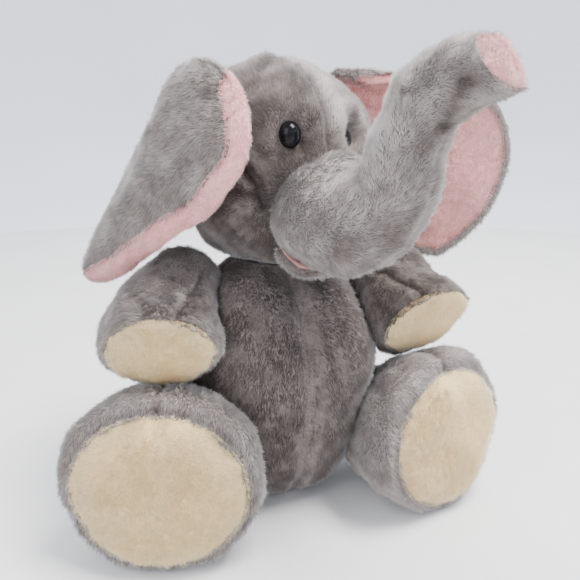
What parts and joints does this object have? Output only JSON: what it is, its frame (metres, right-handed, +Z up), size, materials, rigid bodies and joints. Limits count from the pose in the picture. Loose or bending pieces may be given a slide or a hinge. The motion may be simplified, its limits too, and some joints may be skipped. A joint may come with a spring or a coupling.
{
  "type": "stuffed elephant",
  "caption": "Sitting stuffed elephant: grey plush, raised trunk, pink-lined ears, cream paw pads and soles; limbs, head, trunk and ears move on their seams.",
  "frame": {"origin": "on the seat plane, below the middle of the body", "axes": "+Z up, -Y out of the face and feet, +X to the elephant's left"},
  "size_m": [0.2575, 0.2092, 0.233],
  "materials": {
    "grey_plush": "soft brushed pile",
    "seat_plush": "flattened pile",
    "tuft_plush": "long pile",
    "pink_plush": "short velour pile",
    "cream_plush": "short dense pile",
    "fibre_filling": "loose white fibre",
    "seam_thread": "matt spun thread",
    "eye_black": "glossy",
    "washer_plastic": "matt"
  },
  "bodies": {
    "torso": {"torso_front_left": "grey_plush", "torso_front_right": "grey_plush", "torso_back_left": "grey_plush", "torso_back_right": "grey_plush", "torso_base": "seat_plush", "torso_stuffing": "fibre_filling"},
    "neck": {"neck_thread": "seam_thread"},
    "head": {"head_left": "grey_plush", "head_right": "grey_plush", "head_stuffing": "fibre_filling", "eye_left": "eye_black", "eye_right": "eye_black", "eye_washer_left": "washer_plastic", "eye_washer_right": "washer_plastic"},
    "trunk": {"trunk_root_left": "grey_plush", "trunk_root_right": "grey_plush", "trunk_root_stuffing": "fibre_filling"},
    "trunk_tip": {"trunk_tip_left": "grey_plush", "trunk_tip_right": "grey_plush", "trunk_tip_pad": "pink_plush", "trunk_tip_stuffing": "fibre_filling"},
    "jaw": {"jaw_skin": "grey_plush", "jaw_lining": "pink_plush", "jaw_stuffing": "fibre_filling"},
    "ear_left": {"ear_left_back": "grey_plush", "ear_left_lining": "pink_plush", "ear_left_wadding": "fibre_filling"},
    "ear_right": {"ear_right_back": "grey_plush", "ear_right_lining": "pink_plush", "ear_right_wadding": "fibre_filling"},
    "arm_left_seam": {"arm_left_thread": "seam_thread"},
    "arm_left": {"arm_left_outer": "grey_plush", "arm_left_inner": "grey_plush", "arm_left_pad": "cream_plush", "arm_left_stuffing": "fibre_filling"},
    "arm_right_seam": {"arm_right_thread": "seam_thread"},
    "arm_right": {"arm_right_outer": "grey_plush", "arm_right_inner": "grey_plush", "arm_right_pad": "cream_plush", "arm_right_stuffing": "fibre_filling"},
    "leg_left": {"leg_left_outer": "grey_plush", "leg_left_inner": "grey_plush", "leg_left_sole": "cream_plush", "leg_left_stuffing": "fibre_filling", "leg_left_thread": "seam_thread"},
    "leg_right": {"leg_right_outer": "grey_plush", "leg_right_inner": "grey_plush", "leg_right_sole": "cream_plush", "leg_right_stuffing": "fibre_filling", "leg_right_thread": "seam_thread"},
    "tail": {"tail_left": "grey_plush", "tail_right": "grey_plush", "tail_end_tuft": "tuft_plush", "tail_stuffing": "fibre_filling"}
  },
  "joints": [
    {"name": "head_turn", "type": "hinge", "parent": "torso", "child": "neck", "pos_m": [0, 0.004, 0.181], "axis": [0, 0, 1], "range_deg": [-30, 4]},
    {"name": "head_tilt", "type": "hinge", "parent": "neck", "child": "head", "pos_m": [0, 0.004, 0.181], "axis": [0.9816, 0.1908, 0], "range_deg": [-4, 0], "stiffness_Nm_per_rad": 0.25},
    {"name": "trunk_lift", "type": "hinge", "parent": "head", "child": "trunk", "pos_m": [0.00992, -0.04704, 0.159], "axis": [0.9816, 0.1908, 0], "range_deg": [-8, 30], "stiffness_Nm_per_rad": 0.12},
    {"name": "trunk_tip_bend", "type": "hinge", "parent": "trunk", "child": "trunk_tip", "pos_m": [0.03011, -0.0854, 0.207], "axis": [0.9816, 0.1908, 0], "range_deg": [-16, 14], "stiffness_Nm_per_rad": 0.04},
    {"name": "jaw_open", "type": "hinge", "parent": "head", "child": "jaw", "pos_m": [0.00597, -0.02669, 0.13677], "axis": [0.9816, 0.1908, 0], "range_deg": [0, 7], "stiffness_Nm_per_rad": 0.03},
    {"name": "ear_left_flap", "type": "hinge", "parent": "head", "child": "ear_left", "pos_m": [0.04287, 0.02456, 0.211], "axis": [0.3249, 0.1652, -0.9312], "range_deg": [-20, 2], "stiffness_Nm_per_rad": 0.03},
    {"name": "ear_right_flap", "type": "hinge", "parent": "head", "child": "ear_right", "pos_m": [-0.04745, 0.007, 0.211], "axis": [-0.3631, 0.0314, -0.9312], "range_deg": [0, 10], "stiffness_Nm_per_rad": 0.03},
    {"name": "arm_left_raise", "type": "hinge", "parent": "torso", "child": "arm_left_seam", "pos_m": [0.05, 0, 0.123], "axis": [-1, 0, 0], "range_deg": [0, 8], "stiffness_Nm_per_rad": 0.06},
    {"name": "arm_left_spread", "type": "hinge", "parent": "arm_left_seam", "child": "arm_left", "pos_m": [0.05, 0, 0.123], "axis": [0, -1, 0], "range_deg": [0, 3], "stiffness_Nm_per_rad": 0.06},
    {"name": "leg_left_splay", "type": "hinge", "parent": "torso", "child": "leg_left", "pos_m": [0.054, 0.004, 0.035], "axis": [0, 0, 1], "range_deg": [0, 14], "stiffness_Nm_per_rad": 0.1},
    {"name": "arm_right_raise", "type": "hinge", "parent": "torso", "child": "arm_right_seam", "pos_m": [-0.05, 0, 0.123], "axis": [-1, 0, 0], "range_deg": [0, 8], "stiffness_Nm_per_rad": 0.06},
    {"name": "arm_right_spread", "type": "hinge", "parent": "arm_right_seam", "child": "arm_right", "pos_m": [-0.05, 0, 0.123], "axis": [0, 1, 0], "range_deg": [0, 3], "stiffness_Nm_per_rad": 0.06},
    {"name": "leg_right_splay", "type": "hinge", "parent": "torso", "child": "leg_right", "pos_m": [-0.054, 0.004, 0.035], "axis": [0, 0, -1], "range_deg": [0, 14], "stiffness_Nm_per_rad": 0.1},
    {"name": "tail_wag", "type": "hinge", "parent": "torso", "child": "tail", "pos_m": [0, 0.051, 0.026], "axis": [0, 0, 1], "range_deg": [-30, 30], "stiffness_Nm_per_rad": 0.01}
  ]
}
